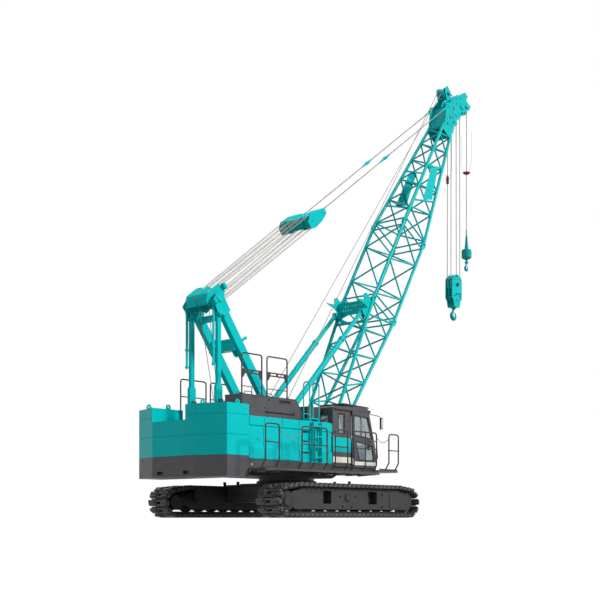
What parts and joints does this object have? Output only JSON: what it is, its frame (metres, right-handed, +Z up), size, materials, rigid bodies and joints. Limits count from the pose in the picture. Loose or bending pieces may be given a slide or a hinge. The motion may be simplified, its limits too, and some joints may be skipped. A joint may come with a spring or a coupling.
{
  "type": "crawler crane",
  "caption": "Crawler crane with a slewing house, rear gantry, raised lattice boom, hook block and ball hook, with boom, ropes, hooks and doors that move.",
  "frame": {"origin": "the slew axis at ground level", "axes": "+X forward under the boom, +Y to the machine's left, +Z up"},
  "size_m": [13.3281, 4.83, 14.2174],
  "materials": {
    "teal_paint": "gloss",
    "dark_grey_paint": "satin",
    "undercarriage_black": "satin",
    "rail_black": "satin",
    "shoe_steel": "worn",
    "rope_steel": "matt",
    "hook_steel": "satin",
    "ball_paint": "satin",
    "window_glass": "clear"
  },
  "bodies": {
    "undercarriage": {"carbody": "undercarriage_black", "track_frames": "undercarriage_black", "track_loop_left": "shoe_steel", "track_loop_right": "shoe_steel", "sprockets": "undercarriage_black", "idlers": "undercarriage_black", "track_rollers": "undercarriage_black"},
    "upper": {"upper_frame": "dark_grey_paint", "counterweight_base": "dark_grey_paint", "counterweight_lower_slab": "teal_paint", "counterweight_upper_slab": "teal_paint", "counterweight_top_blocks": "teal_paint", "house_right": "teal_paint", "house_left": "teal_paint", "engine_hood": "dark_grey_paint", "engine": "dark_grey_paint", "cab_shell": "dark_grey_paint", "cab_glass": "window_glass", "cab_fittings": "dark_grey_paint", "walkways": "dark_grey_paint", "handrails": "rail_black", "ladder": "teal_paint", "gantry_frame": "teal_paint", "gantry_links": "teal_paint", "winch_drums": "rail_black"},
    "house_door_rear": {"house_door_rear": "teal_paint"},
    "house_door_middle": {"house_door_middle": "teal_paint"},
    "house_door_front": {"house_door_front": "teal_paint"},
    "cab_door": {"cab_door": "dark_grey_paint", "cab_door_glass": "window_glass"},
    "boom": {"boom_lower": "teal_paint", "boom_insert": "teal_paint", "boom_top": "teal_paint", "boom_plates": "teal_paint", "boom_head": "teal_paint"},
    "luffing_line": {"luffing_sheaves": "teal_paint"},
    "bridle": {"bridle": "teal_paint", "pendants": "rope_steel"},
    "backstop_tubes": {"backstop_tubes": "teal_paint"},
    "backstop_rods": {"backstop_rods": "teal_paint"},
    "main_falls": {"main_head_sheaves": "teal_paint"},
    "main_block": {"main_block": "teal_paint"},
    "main_hook": {"main_hook": "hook_steel"},
    "aux_fall": {"aux_head_sheave": "teal_paint"},
    "aux_ball": {"aux_ball": "ball_paint"},
    "aux_hook": {"aux_hook": "hook_steel"}
  },
  "joints": [
    {"name": "slew", "type": "hinge", "parent": "undercarriage", "child": "upper", "pos_m": [0, 0, 1], "axis": [0, 0, 1], "continuous": true},
    {"name": "boom_luff", "type": "hinge", "parent": "upper", "child": "boom", "pos_m": [0.95, 0, 1.58], "axis": [0, -1, 0], "range_deg": [-24.5, 20.5]},
    {"name": "luffing_line_swing", "type": "hinge", "parent": "upper", "child": "luffing_line", "pos_m": [-3.1, 0, 5.48], "axis": [0, -1, 0], "range_deg": [-22.84, 19.16]},
    {"name": "bridle_travel", "type": "slide", "parent": "luffing_line", "child": "bridle", "axis": [0.8003, 0, 0.5996], "range_m": [-1.939, 2.317]},
    {"name": "backstop_swing", "type": "hinge", "parent": "upper", "child": "backstop_tubes", "pos_m": [-0.6, 0, 2.65], "axis": [0, -1, 0], "range_deg": [-22.84, 19.16]},
    {"name": "backstop_travel", "type": "slide", "parent": "backstop_tubes", "child": "backstop_rods", "axis": [0.7014, 0, 0.7127], "range_m": [-0.658, 0.786]},
    {"name": "main_falls_swing", "type": "hinge", "parent": "boom", "child": "main_falls", "pos_m": [8.23294, 0, 13.54992], "axis": [0, -1, 0], "range_deg": [-20.8, 24.8]},
    {"name": "main_hoist", "type": "slide", "parent": "main_falls", "child": "main_block", "axis": [0, 0, -1], "range_m": [-2.5, 6.2]},
    {"name": "main_hook_swivel", "type": "hinge", "parent": "main_block", "child": "main_hook", "pos_m": [8.23294, 0, 6.95], "axis": [0, 0, 1], "continuous": true},
    {"name": "aux_fall_swing", "type": "hinge", "parent": "boom", "child": "aux_fall", "pos_m": [8.78013, 0, 13.74986], "axis": [0, -1, 0], "range_deg": [-20.8, 24.8]},
    {"name": "aux_hoist", "type": "slide", "parent": "aux_fall", "child": "aux_ball", "axis": [0, 0, -1], "range_m": [-3.4, 8]},
    {"name": "aux_hook_swivel", "type": "hinge", "parent": "aux_ball", "child": "aux_hook", "pos_m": [9.01013, 0, 8.7], "axis": [0, 0, 1], "continuous": true},
    {"name": "cab_door_slide", "type": "slide", "parent": "upper", "child": "cab_door", "axis": [-1, 0, 0], "range_m": [0, 0.72]},
    {"name": "house_door_rear_hinge", "type": "hinge", "parent": "upper", "child": "house_door_rear", "pos_m": [-3.075, -1.587, 1.975], "axis": [0, 0, -1], "range_deg": [0, 100]},
    {"name": "house_door_middle_hinge", "type": "hinge", "parent": "upper", "child": "house_door_middle", "pos_m": [-2.542, -1.587, 1.975], "axis": [0, 0, -1], "range_deg": [0, 100]},
    {"name": "house_door_front_hinge", "type": "hinge", "parent": "upper", "child": "house_door_front", "pos_m": [-1.896, -1.587, 1.975], "axis": [0, 0, -1], "range_deg": [0, 100]}
  ],
  "couplings": [
    {"joint": "luffing_line_swing", "follows": "boom_luff", "ratio": 0.92},
    {"joint": "bridle_travel", "follows": "boom_luff", "m_per_rad": -5.4145},
    {"joint": "backstop_swing", "follows": "boom_luff", "ratio": 0.92},
    {"joint": "backstop_travel", "follows": "boom_luff", "m_per_rad": -1.8335},
    {"joint": "main_falls_swing", "follows": "boom_luff", "ratio": -1},
    {"joint": "aux_fall_swing", "follows": "boom_luff", "ratio": -1}
  ]
}
